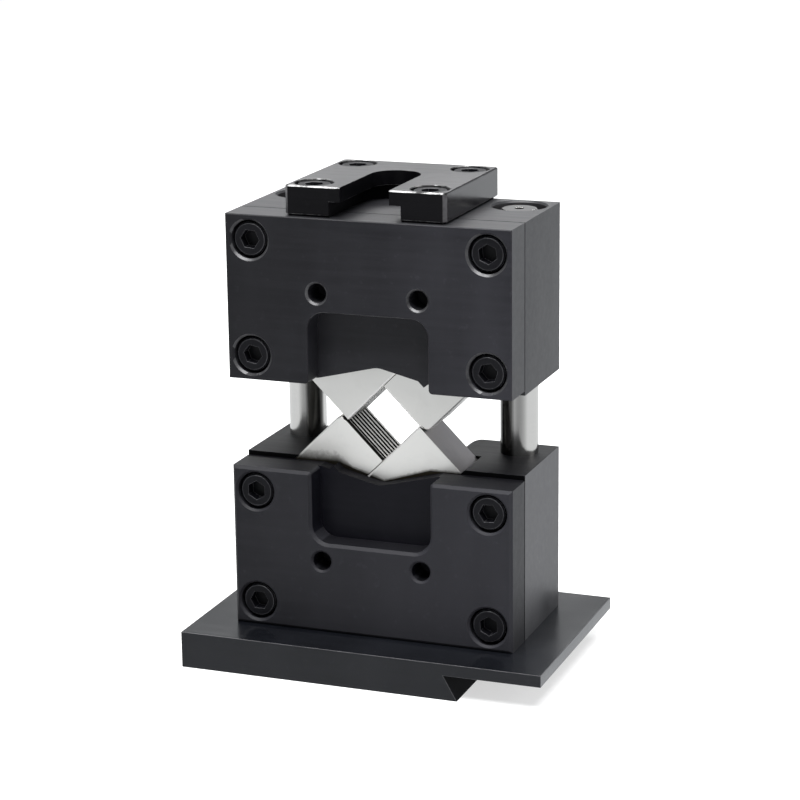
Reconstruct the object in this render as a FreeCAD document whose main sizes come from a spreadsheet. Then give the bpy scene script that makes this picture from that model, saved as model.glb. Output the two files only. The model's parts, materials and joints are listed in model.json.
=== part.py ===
"""Terminal crimping applicator: a two-post die set with four sliding and fixed crimp jaws.

Frame: X to the right, Y to the rear, Z up, in millimetres. X and Y are zero at the middle of
the base plate, and Z is zero under the base plate's tongue. Both blocks are one design turned
half a turn about the line through the middle of the square opening, so each function below
draws its piece in a frame on that line and turns it.
"""

import FreeCAD
import Part
import Sketcher
import math
import os
import re

os.makedirs("parts", exist_ok=True)
doc = FreeCAD.newDocument("crimping_applicator")

SIZES = {
    # base plate
    "base_length": 176.6,
    "base_width": 111.4,
    "base_plate_thickness": 5.7,
    "base_height": 17.4,
    "tongue_right_edge": 42.0,
    "tongue_flank_run": 6.6,
    "base_screw_spacing_x": 63.0,
    "base_screw_spacing_y": 31.5,
    "base_thread_depth": 17.0,
    # blocks
    "block_width": 137.2,
    "block_depth": 70.9,
    "block_offset_x": -0.9,
    "block_offset_y": 1.5,
    "housing_height": 79.3,
    "plate_height": 77.1,
    "plate_thickness": 19.1,
    "open_gap": 37.7,
    # front plates
    "recess_half_width": 29.2,
    "recess_height": 33.9,
    "recess_depth": 12.2,
    "recess_corner": 8.4,
    "leg_corner": 1.8,
    "arch_rise": 7.1,
    "arch_round": 10.0,
    "tooth_offset": 22.5,
    "tooth_rise": 0.5,
    "tooth_outer_run": 1.2,
    "tooth_inner_run": 1.5,
    "plate_screw_inset": 11.6,
    "plate_thread_depth": 22.0,
    "accessory_hole_diameter": 9.0,
    "accessory_hole_depth": 13.5,
    "accessory_hole_spacing": 48.8,
    "accessory_hole_drop": 42.6,
    "dowel_diameter": 8.0,
    "dowel_length": 24.0,
    "dowel_drop": 38.5,
    "lower_plate_edge_break": 1.4,
    "upper_plate_edge_break": 0.4,
    "plate_seam_break": 0.9,
    "accessory_hole_edge_break": 1.0,
    # rear relief of the housings
    "relief_half_width": 20.3,
    "relief_height": 18.2,
    "relief_web": 4.5,
    "relief_corner": 6.8,
    "relief_shoulder": 11.0,
    # guide posts and bushes
    "post_diameter": 18.0,
    "post_spacing": 107.0,
    "post_from_rear": 14.0,
    "post_seat_depth": 50.0,
    "post_below_top": 1.2,
    "post_edge_break": 1.0,
    "post_thread_depth": 25.0,
    "centre_hole_radius": 1.5,
    "centre_hole_depth": 3.2,
    "centre_mouth_radius": 2.1,
    "centre_mouth_depth": 1.4,
    "centre_tip_depth": 4.3,
    "bush_outer_diameter": 25.0,
    "bush_length": 70.0,
    "bush_gap": 0.03,
    "bore_edge_break": 0.9,
    # jaws
    "opening_side": 24.6,
    "jaw_thickness": 24.0,
    "jaw_well_depth": 24.2,
    "jaw_front_gap": 0.1,
    "jaw_overhang": 4.7,
    "fixed_jaw_length": 40.5,
    "sliding_jaw_width": 29.0,
    "sliding_jaw_length": 54.0,
    "slide_end_clearance": 1.7,
    "slide_gap": 0.05,
    "ram_travel": 18.0,
    "jaw_nose_round": 4.6,
    "jaw_face_round": 1.1,
    "rib_count": 7,
    "rib_pitch": 3.2,
    "rib_groove_width": 1.65,
    "rib_groove_depth": 1.5,
    "rib_first": 1.45,
    # jaw keys and springs
    "key_diameter": 6.0,
    "key_length": 19.6,
    "key_grip": 15.6,
    "key_back": 48.4,
    "key_slot_depth": 4.5,
    "key_slot_gap": 0.3,
    "spring_bore_diameter": 9.8,
    "spring_bore_depth": 27.0,
    "spring_seat_depth": 13.5,
    "spring_diameter": 8.9,
    "spring_wire": 1.5,
    "spring_turns": 12,
    # ram plate with its T slot
    "ram_plate_width": 77.4,
    "ram_plate_depth": 72.9,
    "ram_plate_thickness": 14.1,
    "ram_plate_offset_x": -2.3,
    "ram_plate_setback": 2.7,
    "ram_screw_spacing_x": 55.8,
    "ram_screw_spacing_y": 53.6,
    "ram_thread_depth": 20.0,
    "slot_neck_width": 23.6,
    "slot_undercut_width": 34.5,
    "slot_lip": 6.8,
    "slot_end_from_front": 39.2,
    "ram_plate_edge_break": 0.6,
    "ram_plate_corner_break": 1.5,
    "ram_plate_foot_break": 1.1,
    # cap screws
    "screw_thread": 10.0,
    "screw_head_diameter": 16.0,
    "screw_head_height": 10.0,
    "screw_hex": 8.0,
    "screw_hex_depth": 5.0,
    "screw_clearance": 1.0,
    "screw_head_clearance": 2.0,
    "screw_edge_break": 0.8,
    "screw_sink": 1.3,
    "base_screw_sink": 0.7,
    "post_screw_sink": 1.0,
    "ram_screw_sink": 0.6,
    "thread_gap": 0.05,
    "plate_screw_length": 28.0,
    "base_screw_length": 20.0,
    "post_screw_length": 35.0,
    "ram_screw_length": 20.0,
    "counterbore_edge_break": 1.0,
    "small_edge_break": 0.3,
    "jaw_screw_thread": 6.0,
    "jaw_screw_head_diameter": 10.0,
    "jaw_screw_head_height": 6.0,
    "jaw_screw_hex": 5.0,
    "jaw_screw_length": 30.0,
    "jaw_screw_hex_depth": 3.0,
    "jaw_screw_clearance": 0.5,
    "jaw_screw_head_clearance": 0.5,
    "jaw_screw_sink": 0.5,
    "jaw_thread_depth": 16.0,
    "jaw_screw_high_back": 7.2,
    "jaw_screw_high_rise": 5.8,
    "jaw_screw_low_back": 12.3,
    "jaw_screw_low_drop": 5.2,
}

# Sheet of sizes, one row for each, that every sketch and feature is tied to.
sheet = doc.addObject("Spreadsheet::Sheet", "Dimensions")
for row, (name, size) in enumerate(SIZES.items(), start=1):
    sheet.set("A%d" % row, name)
    sheet.set("B%d" % row, str(size))
    sheet.setAlias("B%d" % row, name)
doc.recompute()

WORD = re.compile(r"[a-z_]+")


def tied(text):
    """Put the sheet's name before each size that the expression names."""
    return WORD.sub(lambda m: "Dimensions." + m.group(0) if m.group(0) in SIZES else m.group(0), str(text))


def number(text):
    """Work out an expression with the sizes as they stand in the sheet."""
    found = sheet.evalExpression(tied(text))
    return float(getattr(found, "Value", found))


# Places that several pieces share, written as expressions on the sheet.
FRONT_Y = "(block_offset_y - block_depth / 2)"
SEAM_Y = "(block_offset_y - block_depth / 2 + plate_thickness)"
REAR_Y = "(block_offset_y + block_depth / 2)"
POST_Y = "(block_offset_y + block_depth / 2 - post_from_rear)"
MID_Z = "(base_height + housing_height + open_gap / 2)"
TOP_Z = "(base_height + 2 * housing_height + open_gap)"
PARTING = "(-open_gap / 2)"
PLATE_EDGE = "(-open_gap / 2 - housing_height + plate_height)"
HALF = "(opening_side / 2)"
ROOT2 = "1.41421356237"
SLIDE_TRAVEL = "(ram_travel / 1.41421356237)"
JAW_MID_Y = "(block_offset_y - block_depth / 2 + plate_thickness + jaw_front_gap + jaw_thickness / 2)"
SLIDE_MID = "(opening_side / 2 + sliding_jaw_width / 2)"
SLIDE_TAIL = "(opening_side / 2 - slide_gap - sliding_jaw_length)"
RUN_END = "(%s - %s - slide_end_clearance)" % (SLIDE_TAIL, SLIDE_TRAVEL)
LOWER = 0
UPPER = 180
DIAGONAL = 45


def new_body(name):
    body = doc.addObject("PartDesign::Body", name)
    body.Label = name
    return body


def new_sketch(body, role, origin, angle):
    """Sketch on one of the body's own planes, moved to origin and turned in that plane."""
    sketch = body.newObject("Sketcher::SketchObject", "Outline")
    plane = [item for item in body.Origin.OriginFeatures if item.Role == role][0]
    sketch.AttachmentSupport = [(plane, "")]
    sketch.MapMode = "FlatFace"
    x, y, z = origin
    turn = FreeCAD.Rotation(FreeCAD.Vector(0, 0, 1), angle)
    sketch.AttachmentOffset = FreeCAD.Placement(FreeCAD.Vector(0, 0, 0), turn)
    if role == "XZ_Plane":
        along = (x, z, "-(%s)" % y)
    else:
        along = (x, y, z)
    for axis, text in zip("xyz", along):
        sketch.setExpression("AttachmentOffset.Base." + axis, tied(text))
    return sketch


def hold(sketch, index, corner, u, v):
    """Tie one end of a line to its place, given as two expressions."""
    if str(u) == "0":
        sketch.addConstraint(Sketcher.Constraint("PointOnObject", index, corner, -2))
    else:
        ref = sketch.addConstraint(Sketcher.Constraint("DistanceX", -1, 1, index, corner, number(u)))
        sketch.setExpression("Constraints[%d]" % ref, tied(u))
    if str(v) == "0":
        sketch.addConstraint(Sketcher.Constraint("PointOnObject", index, corner, -1))
    else:
        ref = sketch.addConstraint(Sketcher.Constraint("DistanceY", -1, 1, index, corner, number(v)))
        sketch.setExpression("Constraints[%d]" % ref, tied(v))


def polygon(body, role, origin, angle, corners):
    """Closed outline through corners, each tied to the sheet."""
    sketch = new_sketch(body, role, origin, angle)
    spots = [FreeCAD.Vector(number(u), number(v), 0) for u, v in corners]
    count = len(spots)
    for i in range(count):
        sketch.addGeometry(Part.LineSegment(spots[i], spots[(i + 1) % count]), False)
    for i in range(count):
        sketch.addConstraint(Sketcher.Constraint("Coincident", i, 2, (i + 1) % count, 1))
    for i, (u, v) in enumerate(corners):
        hold(sketch, i, 1, u, v)
    return sketch


def finish(body, feature, sketch, length=None):
    feature.Profile = sketch
    if length is not None:
        feature.setExpression("Length", tied(length))
    sketch.Visibility = False
    body.Tip = feature
    return feature


def add_block(body, corners, start, depth, angle=0, centre=("block_offset_x", MID_Z)):
    """Pad an outline drawn from the front, from the plane y = start to the rear."""
    x, z = centre
    sketch = polygon(body, "XZ_Plane", (x, start, z), angle, corners)
    pad = body.newObject("PartDesign::Pad", "Pad")
    pad.Reversed = True
    return finish(body, pad, sketch, depth)


def cut_block(body, corners, start, depth, angle=0, centre=("block_offset_x", MID_Z)):
    """Pocket an outline drawn from the front, from the plane y = start to the rear."""
    x, z = centre
    sketch = polygon(body, "XZ_Plane", (x, start, z), angle, corners)
    pocket = body.newObject("PartDesign::Pocket", "Pocket")
    return finish(body, pocket, sketch, depth)


def rectangle(left, low, right, high):
    return [(left, low), (right, low), (right, high), (left, high)]


def turned(body, origin, angle, profile, role="XZ_Plane", cut=False):
    """Turn a profile of (along, radius) corners about the axis that starts at origin."""
    sketch = polygon(body, role, origin, angle, profile)
    kind = "PartDesign::Groove" if cut else "PartDesign::Revolution"
    feature = body.newObject(kind, "Turned")
    feature.ReferenceAxis = (sketch, ["H_Axis"])
    feature.Angle = 360
    return finish(body, feature, sketch)


def rod(radius, length, start="0"):
    return [(start, "0"), (length, "0"), (length, radius), (start, radius)]


def spots_in(turn, places):
    """Places given about the middle line, as expressions in the part's own frame."""
    sign = 1 if turn == LOWER else -1
    across = "block_offset_x + (%d) * (%s)"
    up = "%s + (%d) * (%s)"
    return [(across % (sign, x), up % (MID_Z, sign, z)) for x, z in places]


def diagonal_spot(turn, a, b):
    """Point at a along and b across the lower sliding jaw's run, about the middle line."""
    x = "((%s) - (%s)) / %s" % (a, b, ROOT2)
    z = "((%s) + (%s)) / %s" % (a, b, ROOT2)
    return spots_in(turn, [(x, z)])[0]


def round_edges(body, radius, wanted, kind="PartDesign::Fillet"):
    """Round, or bevel, the edges of the body's last feature that wanted picks."""
    doc.recompute()
    last = body.Tip
    names = ["Edge%d" % (i + 1) for i, edge in enumerate(last.Shape.Edges) if wanted(edge)]
    if not names:
        raise RuntimeError("no edge found to round on " + body.Label)
    feature = body.newObject(kind, "Edges")
    feature.Base = (last, names)
    feature.setExpression("Radius" if kind.endswith("Fillet") else "Size", tied(radius))
    body.Tip = feature
    return feature


def near(value, wanted, slack=0.02):
    return abs(value - wanted) < slack


def edge_line(edge):
    """Middle and unit direction of a straight edge, or None for a curve."""
    if edge.Curve.TypeId != "Part::GeomLine":
        return None
    start = edge.Vertexes[0].Point
    end = edge.Vertexes[-1].Point
    return (start + end) * 0.5, (end - start).normalize()


def along_y_at(places, slack=0.05):
    """Picker of the edges that run front to rear through the given (x, z) places."""
    def wanted(edge):
        line = edge_line(edge)
        if line is None or abs(line[1].y) < 0.999:
            return False
        return any(near(line[0].x, x, slack) and near(line[0].z, z, slack) for x, z in places)
    return wanted


def numbers(spots):
    return [(number(x), number(z)) for x, z in spots]


# Cap screws, pins and other turned pieces

def cap_screw(name, prefix, length):
    """Socket head cap screw of the named size along +Y, with the head's face at y = 0."""
    body = new_body(name)
    head = prefix + "_head_diameter"
    head_height = prefix + "_head_height"
    thread = prefix + "_thread"
    hexagon = prefix + "_hex"
    edge = "screw_edge_break"
    profile = [
        ("0", "0"),
        ("%s + %s" % (head_height, length), "0"),
        ("%s + %s" % (head_height, length), "%s / 2 - thread_gap - %s" % (thread, edge)),
        ("%s + %s - %s" % (head_height, length, edge), "%s / 2 - thread_gap" % thread),
        (head_height, "%s / 2 - thread_gap" % thread),
        (head_height, "%s / 2" % head),
        (edge, "%s / 2" % head),
        ("0", "%s / 2 - %s" % (head, edge)),
    ]
    turned(body, ("0", "0", "0"), 90, profile, role="XY_Plane")
    flat = "(%s / 2)" % hexagon
    long = "(%s / 2 / cos(30))" % hexagon
    corners = [
        (long, "0"),
        ("%s / 2" % long, flat),
        ("-%s / 2" % long, flat),
        ("-" + long, "0"),
        ("-%s / 2" % long, "-" + flat),
        ("%s / 2" % long, "-" + flat),
    ]
    cut_block(body, corners, "0", hexagon + "_depth", centre=("0", "0"))
    return body


def group(name, piece, places, axis=(0, 0, 1), angle=0.0, spins=(0,)):
    """Copies of one piece at several places, each spun on its own axis, kept as separate solids."""
    copies = []
    turn = FreeCAD.Rotation(FreeCAD.Vector(*axis), angle)
    for i, (x, y, z) in enumerate(places):
        spin = FreeCAD.Rotation(FreeCAD.Vector(0, 1, 0), spins[i % len(spins)])
        copy = doc.addObject("App::Link", "Copy")
        copy.LinkedObject = piece
        copy.LinkTransform = False
        copy.Placement = FreeCAD.Placement(FreeCAD.Vector(0, 0, 0), turn.multiply(spin))
        for letter, text in zip("xyz", (x, y, z)):
            copy.setExpression("Placement.Base." + letter, tied(text))
        copies.append(copy)
    whole = doc.addObject("Part::Compound", name)
    whole.Links = copies
    whole.Label = name
    return whole


def four_corners(half_x, top, bottom):
    return [("-" + half_x, top), (half_x, top), ("-" + half_x, bottom), (half_x, bottom)]


PLATE_SCREWS = four_corners(
    "(block_width / 2 - plate_screw_inset)",
    "(%s - plate_screw_inset)" % PLATE_EDGE,
    "(%s - plate_height + plate_screw_inset)" % PLATE_EDGE,
)
DOWELS = [("-(block_width / 2 - plate_screw_inset)", "(%s - dowel_drop)" % PLATE_EDGE),
          ("(block_width / 2 - plate_screw_inset)", "(%s - dowel_drop)" % PLATE_EDGE)]
ACCESSORY_HOLES = [("-accessory_hole_spacing / 2", "(%s - accessory_hole_drop)" % PLATE_EDGE),
                   ("accessory_hole_spacing / 2", "(%s - accessory_hole_drop)" % PLATE_EDGE)]
DOWEL_HOLE = rod("dowel_diameter / 2", "dowel_length / 2", "-1")
POSTS_X = ["(block_offset_x - post_spacing / 2)", "(block_offset_x + post_spacing / 2)"]
JAW_SCREWS = [("(-%s - fixed_jaw_length + jaw_screw_high_back)" % HALF, "jaw_screw_high_rise"),
              ("(-%s - fixed_jaw_length + jaw_screw_low_back)" % HALF, "(-jaw_screw_low_drop)")]
KEY_SPOT = ("(%s - key_back)" % HALF, "(-%s)" % SLIDE_MID)
BASE_SCREWS = [("(block_offset_x + (%d) * base_screw_spacing_x / 2)" % i,
                "(%s - block_depth / 2 + plate_thickness / 2 + (%d) * base_screw_spacing_y / 2)" % (REAR_Y, j))
               for i in (-1, 1) for j in (-1, 1)]


def counterbore(prefix, sink, through, bevel="counterbore_edge_break"):
    """Profile of a counterbored hole for a screw of the named size, from the mouth inwards."""
    mouth = "(%s_head_diameter / 2 + %s_head_clearance / 2)" % (prefix, prefix)
    shank = "(%s_thread / 2 + %s_clearance / 2)" % (prefix, prefix)
    floor = "(%s_head_height + %s)" % (prefix, sink)
    return [
        ("-1", "0"),
        (through, "0"),
        (through, shank),
        (floor, shank),
        (floor, mouth),
        (bevel, mouth),
        ("0", "%s + %s" % (mouth, bevel)),
        ("-1", "%s + %s" % (mouth, bevel)),
    ]


# Base plate

def base_plate():
    """Wide plate with a thick tongue under it, whose right flank is undercut."""
    body = new_body("base_plate")
    half = "base_length / 2"
    under = "(base_height - base_plate_thickness)"
    corners = [
        ("-" + half, "0"),
        ("tongue_right_edge + tongue_flank_run", "0"),
        ("tongue_right_edge", under),
        (half, under),
        (half, "base_height"),
        ("-" + half, "base_height"),
    ]
    add_block(body, corners, "-base_width / 2", "base_width", centre=("0", "0"))
    profile = counterbore("screw", "base_screw_sink", "(base_height + 1)", "small_edge_break")
    for x, y in BASE_SCREWS:
        turned(body, (x, y, "0"), 90, profile, cut=True)
    return body


# Housings

def housing(name, turn):
    """Deep block that carries two jaws in an open well, the posts or bushes and the front plate."""
    body = new_body(name)
    half = "block_width / 2"
    low = "(%s - housing_height)" % PARTING
    add_block(body, rectangle("-" + half, low, half, PARTING), SEAM_Y, "block_depth - plate_thickness", turn)
    # Jaw well: a run for the sliding jaw and a seat for the fixed jaw above it.
    guide = "(-%s - sliding_jaw_width)" % HALF
    roof = "(-%s + slide_gap)" % HALF
    seat_end = "(-%s - fixed_jaw_length)" % HALF
    wall = "(%s + jaw_overhang)" % HALF
    far = "block_width / 2"
    well = [(RUN_END, guide), (far, guide), (far, wall), (seat_end, wall), (seat_end, roof), (RUN_END, roof)]
    cut_block(body, well, SEAM_Y, "jaw_well_depth", turn + DIAGONAL)
    # Relief in the rear wall, open to the parting side, with a roof-shaped web before it.
    relief_low = "(%s - relief_height)" % PARTING
    shoulder = [
        ("-relief_half_width", relief_low),
        ("relief_half_width", relief_low),
        ("relief_half_width", "%s + 5" % PARTING),
        ("-relief_half_width", "%s + 5" % PARTING),
    ]
    web_y = "(%s + jaw_well_depth + relief_web)" % SEAM_Y
    rest = "(block_depth - plate_thickness - jaw_well_depth - relief_web)"
    cut_block(body, shoulder, web_y, rest, turn)
    sides = ("-relief_half_width", "relief_half_width")
    low_corners = numbers(spots_in(turn, [(side, relief_low) for side in sides]))
    round_edges(body, "relief_corner", along_y_at(low_corners))
    high_corners = numbers(spots_in(turn, [(side, PARTING) for side in sides]))
    round_edges(body, "relief_shoulder", along_y_at(high_corners))
    roof_shape = [
        ("-relief_half_width", PARTING),
        ("0", "(%s - arch_rise)" % PARTING),
        ("relief_half_width", PARTING),
        ("relief_half_width", "%s + 5" % PARTING),
        ("-relief_half_width", "%s + 5" % PARTING),
    ]
    cut_block(body, roof_shape, "(%s + jaw_well_depth - 1)" % SEAM_Y, "relief_web + 2", turn)
    # Threads for the plate screws and blind holes for the dowels.
    thread = rod("screw_thread / 2", "plate_thread_depth", "-1")
    for x, z in spots_in(turn, PLATE_SCREWS):
        turned(body, (x, SEAM_Y, z), 90, thread, "XY_Plane", cut=True)
    for x, z in spots_in(turn, DOWELS):
        turned(body, (x, SEAM_Y, z), 90, DOWEL_HOLE, "XY_Plane", cut=True)
    # Threads for the fixed jaw's screws and the key pin's hole, all from the well's floor.
    floor_y = "(%s + jaw_well_depth)" % SEAM_Y
    thread = rod("jaw_screw_thread / 2", "jaw_thread_depth", "-1")
    for a, b in JAW_SCREWS:
        x, z = diagonal_spot(turn, a, b)
        turned(body, (x, floor_y, z), 90, thread, "XY_Plane", cut=True)
    x, z = diagonal_spot(turn, *KEY_SPOT)
    turned(body, (x, floor_y, z), 90, rod("key_diameter / 2", "key_grip", "-1"), "XY_Plane", cut=True)
    # Seat for the return spring at the closed end of the run.
    x, z = diagonal_spot(turn, RUN_END, KEY_SPOT[1])
    turned(body, (x, JAW_MID_Y, z), turn + DIAGONAL + 180,
           rod("spring_bore_diameter / 2", "spring_seat_depth", "-1"), cut=True)
    if turn == LOWER:
        lower_bores(body)
    else:
        upper_bores(body)
    return body


def lower_bores(body):
    """Post seats from the top, post screws from below and threads for the base screws."""
    top = "(base_height + housing_height)"
    foot = "(housing_height - post_seat_depth)"
    for x in POSTS_X:
        turned(body, (x, POST_Y, top), -90, rod("post_diameter / 2", "post_seat_depth", "-1"), cut=True)
        profile = counterbore("screw", "post_screw_sink", foot, "small_edge_break")
        turned(body, (x, POST_Y, "base_height"), 90, profile, cut=True)
    for x, y in BASE_SCREWS:
        turned(body, (x, y, "base_height"), 90, rod("screw_thread / 2", "base_thread_depth", "-1"), cut=True)


def upper_bores(body):
    """Through bores for the bushes and threads for the rear screws of the ram plate."""
    for x in POSTS_X:
        wide = "(bush_outer_diameter / 2 + bore_edge_break)"
        bore = [
            ("-1", "0"),
            ("housing_height + 1", "0"),
            ("housing_height + 1", "bush_outer_diameter / 2"),
            ("bore_edge_break", "bush_outer_diameter / 2"),
            ("0", wide),
            ("-1", wide),
        ]
        turned(body, (x, POST_Y, TOP_Z), -90, bore, cut=True)
    for x, y in RAM_SCREWS[2:]:
        turned(body, (x, y, TOP_Z), -90, rod("screw_thread / 2", "ram_thread_depth", "-1"), cut=True)


RAM_FRONT_Y = "(%s + ram_plate_setback)" % FRONT_Y
RAM_MID_Y = "(%s + ram_plate_setback + ram_plate_depth / 2)" % FRONT_Y
RAM_SCREWS = [("(ram_plate_offset_x + (%d) * ram_screw_spacing_x / 2)" % i,
               "(%s + (%d) * ram_screw_spacing_y / 2)" % (RAM_MID_Y, j)) for j in (-1, 1) for i in (-1, 1)]


# Front plates

def front_plate(name, turn):
    """Cover plate with a U recess, a roof-shaped web, a small tooth and counterbored corners."""
    body = new_body(name)
    half = "block_width / 2"
    low = "(%s - plate_height)" % PLATE_EDGE
    add_block(body, rectangle("-" + half, low, half, PLATE_EDGE), FRONT_Y, "plate_thickness", turn)
    floor = "(%s - recess_height)" % PLATE_EDGE
    recess = rectangle("-recess_half_width", floor, "recess_half_width", "(%s + 5)" % PLATE_EDGE)
    cut_block(body, recess, FRONT_Y, "recess_depth", turn)
    inner = numbers(spots_in(turn, [("-recess_half_width", floor), ("recess_half_width", floor)]))
    round_edges(body, "recess_corner", along_y_at(inner))
    legs = numbers(spots_in(turn, [("-recess_half_width", PLATE_EDGE), ("recess_half_width", PLATE_EDGE)]))
    round_edges(body, "leg_corner", along_y_at(legs))
    roof_shape = [
        ("-recess_half_width", PLATE_EDGE),
        ("0", "(%s - arch_rise)" % PLATE_EDGE),
        ("recess_half_width", PLATE_EDGE),
        ("recess_half_width", "(%s + 5)" % PLATE_EDGE),
        ("-recess_half_width", "(%s + 5)" % PLATE_EDGE),
    ]
    web_y = "(%s + recess_depth)" % FRONT_Y
    web = "(plate_thickness - recess_depth)"
    cut_block(body, roof_shape, "(%s - 1)" % web_y, "(%s + 2)" % web, turn)
    crown = numbers(spots_in(turn, [("0", "(%s - arch_rise)" % PLATE_EDGE)]))
    round_edges(body, "arch_round", along_y_at(crown))
    # Small pointed tooth beside the fixed jaw.
    tip = "-tooth_offset"
    foot = "(tooth_rise + arch_rise * (1 - tooth_offset / recess_half_width))"
    outer = "(tooth_outer_run * %s)" % foot
    inner = "(tooth_inner_run * %s)" % foot
    root = "(%s - arch_rise - 1)" % PLATE_EDGE
    tooth = [
        (tip, "(%s + tooth_rise)" % PLATE_EDGE),
        ("(%s - %s)" % (tip, outer), "(%s + tooth_rise - %s)" % (PLATE_EDGE, outer)),
        ("(%s - %s)" % (tip, outer), root),
        ("(%s + %s)" % (tip, inner), root),
        ("(%s + %s)" % (tip, inner), "(%s + tooth_rise - %s)" % (PLATE_EDGE, inner)),
    ]
    add_block(body, tooth, web_y, web, turn)
    profile = counterbore("screw", "screw_sink", "(plate_thickness + 1)")
    for x, z in spots_in(turn, PLATE_SCREWS):
        turned(body, (x, FRONT_Y, z), 90, profile, "XY_Plane", cut=True)
    hole = "accessory_hole_diameter / 2"
    bevel = "accessory_hole_edge_break"
    blind = [
        ("-1", "0"),
        ("accessory_hole_depth", "0"),
        ("accessory_hole_depth", hole),
        (bevel, hole),
        ("0", "%s + %s" % (hole, bevel)),
        ("-1", "%s + %s" % (hole, bevel)),
    ]
    for x, z in spots_in(turn, ACCESSORY_HOLES):
        turned(body, (x, FRONT_Y, z), 90, blind, "XY_Plane", cut=True)
    for x, z in spots_in(turn, DOWELS):
        turned(body, (x, SEAM_Y, z), -90, DOWEL_HOLE, "XY_Plane", cut=True)
    if turn == UPPER:
        for x, y in RAM_SCREWS[:2]:
            turned(body, (x, y, TOP_Z), -90, rod("screw_thread / 2", "ram_thread_depth", "-1"), cut=True)
    break_plate_edges(body, turn)
    return body


def break_plate_edges(body, turn):
    """Bevel the front rim of a front plate, recess and all, and its outer edges at the seam."""
    front = number(FRONT_Y)
    seam = number(SEAM_Y)
    half = number("block_width / 2")
    middle = number("block_offset_x")
    sign = 1 if turn == LOWER else -1
    far = number(MID_Z) + sign * number("%s - plate_height" % PLATE_EDGE)

    def front_rim(edge):
        ends = edge.Vertexes
        return len(ends) == 2 and all(near(end.Y, front) for end in ends) and near(edge.CenterOfMass.y, front)

    def seam_rim(edge):
        line = edge_line(edge)
        if line is None or not near(line[0].y, seam):
            return False
        side = abs(line[1].z) > 0.999 and near(abs(line[0].x - middle), half)
        return side or (abs(line[1].x) > 0.999 and near(line[0].z, far))

    size = "lower_plate_edge_break" if turn == LOWER else "upper_plate_edge_break"
    round_edges(body, size, front_rim, "PartDesign::Chamfer")
    round_edges(body, "plate_seam_break", seam_rim, "PartDesign::Chamfer")


# Jaws

def ribs(body, turn, corners):
    """Row of grooves across a crimp face, spaced from the front."""
    for i in range(int(number("rib_count"))):
        start = "(%s + jaw_front_gap + rib_first + %d * rib_pitch)" % (SEAM_Y, i)
        cut_block(body, corners, start, "rib_groove_width", turn + DIAGONAL)


def crimp_edge(turn, place):
    """Picker of the front edge of a crimp face through the given point of the jaws' own frame."""
    x, z = [number(text) for text in diagonal_spot(turn, *place)]
    front = number("(%s + jaw_front_gap)" % SEAM_Y)

    def wanted(edge):
        line = edge_line(edge)
        if line is None or not near(line[0].y, front) or abs(line[1].y) > 0.001:
            return False
        gap = FreeCAD.Vector(x, front, z) - line[0]
        return gap.cross(line[1]).Length < 0.05
    return wanted


def fixed_jaw(name, turn):
    """Jaw screwed to the well's floor, with its crimp face on the square opening."""
    body = new_body(name)
    back = "(-%s - fixed_jaw_length)" % HALF
    face = "(-%s)" % HALF
    roof = "(-%s + slide_gap)" % HALF
    wall = "(%s + jaw_overhang)" % HALF
    start = "(%s + jaw_front_gap)" % SEAM_Y
    depth = "(jaw_well_depth - jaw_front_gap)"
    add_block(body, rectangle(back, roof, face, wall), start, depth, turn + DIAGONAL)
    nose = numbers([diagonal_spot(turn, face, wall)])
    round_edges(body, "jaw_nose_round", along_y_at(nose))
    round_edges(body, "jaw_face_round", crimp_edge(turn, (face, "0")))
    bottom = "(%s - rib_groove_depth)" % face
    ribs(body, turn, rectangle(bottom, "(%s - 1)" % roof, "(%s + 2)" % face, "(%s + 1)" % wall))
    profile = counterbore("jaw_screw", "jaw_screw_sink", "(jaw_well_depth + 1)", "small_edge_break")
    for a, b in JAW_SCREWS:
        x, z = diagonal_spot(turn, a, b)
        turned(body, (x, start, z), 90, profile, "XY_Plane", cut=True)
    return body


def sliding_jaw(name, turn):
    """Jaw that runs along the well on its guide, pushed by a spring and kept by a key pin."""
    body = new_body(name)
    tip = "(%s - slide_gap)" % HALF
    guide = "(-%s - sliding_jaw_width + slide_gap)" % HALF
    face = "(-%s)" % HALF
    start = "(%s + jaw_front_gap)" % SEAM_Y
    add_block(body, rectangle(SLIDE_TAIL, guide, tip, face), start, "jaw_thickness", turn + DIAGONAL)
    round_edges(body, "jaw_face_round", crimp_edge(turn, ("0", face)))
    bottom = "(%s - rib_groove_depth)" % face
    ribs(body, turn, rectangle("(-%s - 4)" % HALF, bottom, "(%s + 1)" % tip, "(%s + 2)" % face))
    # Keyway in the rear face, as long as the jaw's own travel.
    side = "(key_diameter / 2 + key_slot_gap)"
    a, b = KEY_SPOT
    slot = rectangle("(%s - %s)" % (a, side), "(%s - %s)" % (b, side),
                     "(%s + %s + %s)" % (a, side, SLIDE_TRAVEL), "(%s + %s)" % (b, side))
    slot_y = "(%s + jaw_thickness - key_slot_depth)" % start
    cut_block(body, slot, slot_y, "(key_slot_depth + 1)", turn + DIAGONAL)
    x, z = diagonal_spot(turn, SLIDE_TAIL, b)
    turned(body, (x, JAW_MID_Y, z), turn + DIAGONAL,
           rod("spring_bore_diameter / 2", "spring_bore_depth", "-1"), cut=True)
    return body


def key_pin(name, turn):
    body = new_body(name)
    x, z = diagonal_spot(turn, *KEY_SPOT)
    seat = "(%s + jaw_well_depth + key_grip)" % SEAM_Y
    turned(body, (x, seat, z), -90, rod("key_diameter / 2", "key_length"), "XY_Plane")
    return body


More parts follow.
